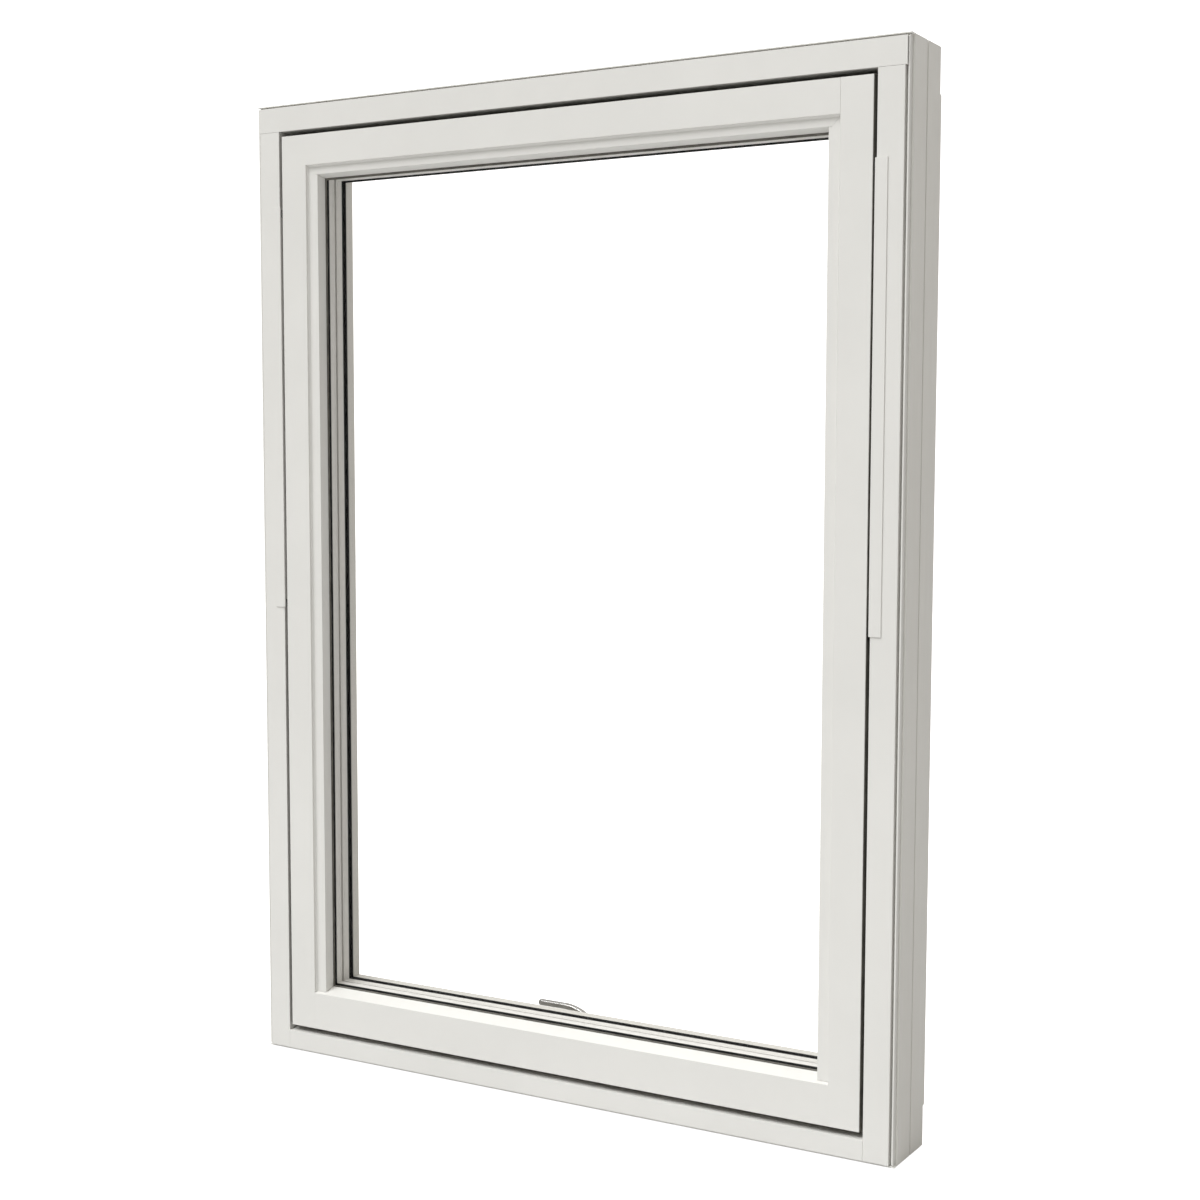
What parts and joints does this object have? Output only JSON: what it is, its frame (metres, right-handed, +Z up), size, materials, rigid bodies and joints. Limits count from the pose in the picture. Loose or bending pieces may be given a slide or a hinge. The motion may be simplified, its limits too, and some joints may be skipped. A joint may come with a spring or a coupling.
{
  "type": "casement window",
  "caption": "Outward-opening top-guided timber window with aluminium outside, sealed glazing unit, swinging side arms and a room-side lever with sliding lock rods.",
  "frame": {"origin": "middle of the sill underside, half way through the frame depth", "axes": "+Z up, -Y towards the weather side, +Y towards the room, +X along the wall to the right as seen from outside"},
  "size_m": [1.076, 0.1275, 1.48],
  "materials": {
    "painted_timber": "opaque light grey paint over fine grain",
    "coated_aluminium": "matt light grey powder coat",
    "bare_aluminium": "mill finish",
    "rubber_seal": "matt black",
    "glass": "clear",
    "spacer_bar": "grey warm-edge bar",
    "zinc_steel": "zinc plated",
    "satin_chrome": "satin",
    "black_plastic": "moulded",
    "nylon": "moulded"
  },
  "bodies": {
    "frame": {"left_jamb_timber": "painted_timber", "right_jamb_timber": "painted_timber", "head_timber": "painted_timber", "sill_timber": "painted_timber", "left_clip_rail": "coated_aluminium", "right_clip_rail": "coated_aluminium", "head_clip_rail": "coated_aluminium", "sill_clip_rail": "coated_aluminium", "left_jamb_cap": "coated_aluminium", "right_jamb_cap": "coated_aluminium", "head_cap": "coated_aluminium", "sill_cap": "coated_aluminium", "left_cover_strip": "coated_aluminium", "right_cover_strip": "coated_aluminium", "left_strip_plug_upper": "black_plastic", "left_strip_plug_lower": "black_plastic", "right_strip_plug_upper": "black_plastic", "right_strip_plug_lower": "black_plastic", "left_guide_track": "bare_aluminium", "right_guide_track": "bare_aluminium", "left_arm_bracket": "zinc_steel", "right_arm_bracket": "zinc_steel", "left_lock_keep": "zinc_steel", "right_lock_keep": "zinc_steel", "left_frame_gasket": "rubber_seal", "right_frame_gasket": "rubber_seal", "head_frame_gasket": "rubber_seal", "sill_frame_gasket": "rubber_seal"},
    "left_arm": {"left_arm": "zinc_steel"},
    "right_arm": {"right_arm": "zinc_steel"},
    "sash": {"left_stile_timber": "painted_timber", "right_stile_timber": "painted_timber", "top_rail_timber": "painted_timber", "bottom_rail_timber": "painted_timber", "left_stile_cap": "coated_aluminium", "right_stile_cap": "coated_aluminium", "top_rail_cap": "coated_aluminium", "bottom_rail_cap": "coated_aluminium", "outer_pane": "glass", "middle_pane": "glass", "inner_pane": "glass", "outer_spacer": "spacer_bar", "inner_spacer": "spacer_bar", "outer_glazing_gasket": "rubber_seal", "inner_glazing_gasket": "rubber_seal", "left_setting_block": "nylon", "right_setting_block": "nylon", "left_sash_pivot_plate": "zinc_steel", "right_sash_pivot_plate": "zinc_steel", "lock_gearbox": "zinc_steel", "lock_faceplate": "zinc_steel", "handle_rosette": "satin_chrome"},
    "left_guide_shoe": {"left_guide_shoe": "nylon"},
    "right_guide_shoe": {"right_guide_shoe": "nylon"},
    "handle": {"handle_lever": "satin_chrome"},
    "left_lock_rod": {"left_lock_rod": "zinc_steel"},
    "right_lock_rod": {"right_lock_rod": "zinc_steel"}
  },
  "joints": [
    {"name": "left_arm_pivot", "type": "hinge", "parent": "frame", "child": "left_arm", "pos_m": [-0.48945, -0.01, 0.73645], "axis": [1, 0, 0], "range_deg": [0, 80]},
    {"name": "sash_pivot", "type": "hinge", "parent": "left_arm", "child": "sash", "pos_m": [-0.48945, -0.01, 1.08022], "axis": [1, 0, 0], "range_deg": [-160, 0]},
    {"name": "right_arm_pivot", "type": "hinge", "parent": "frame", "child": "right_arm", "pos_m": [0.48945, -0.01, 0.73645], "axis": [1, 0, 0], "range_deg": [0, 80]},
    {"name": "left_shoe_swivel", "type": "hinge", "parent": "sash", "child": "left_guide_shoe", "pos_m": [-0.485, -0.01, 1.424], "axis": [1, 0, 0], "range_deg": [0, 80]},
    {"name": "right_shoe_swivel", "type": "hinge", "parent": "sash", "child": "right_guide_shoe", "pos_m": [0.485, -0.01, 1.424], "axis": [1, 0, 0], "range_deg": [0, 80]},
    {"name": "handle_turn", "type": "hinge", "parent": "sash", "child": "handle", "pos_m": [0, 0.043, 0.072], "axis": [0, 1, 0], "range_deg": [0, 90]},
    {"name": "left_rod_slide", "type": "slide", "parent": "sash", "child": "left_lock_rod", "axis": [-1, 0, 0], "range_m": [0, 0.0189]},
    {"name": "right_rod_slide", "type": "slide", "parent": "sash", "child": "right_lock_rod", "axis": [1, 0, 0], "range_m": [0, 0.0189]}
  ],
  "couplings": [
    {"joint": "sash_pivot", "follows": "left_arm_pivot", "ratio": -2},
    {"joint": "right_arm_pivot", "follows": "left_arm_pivot", "ratio": 1},
    {"joint": "left_shoe_swivel", "follows": "left_arm_pivot", "ratio": 1},
    {"joint": "right_shoe_swivel", "follows": "left_arm_pivot", "ratio": 1},
    {"joint": "left_rod_slide", "follows": "handle_turn", "m_per_rad": 0.012},
    {"joint": "right_rod_slide", "follows": "handle_turn", "m_per_rad": 0.012}
  ]
}
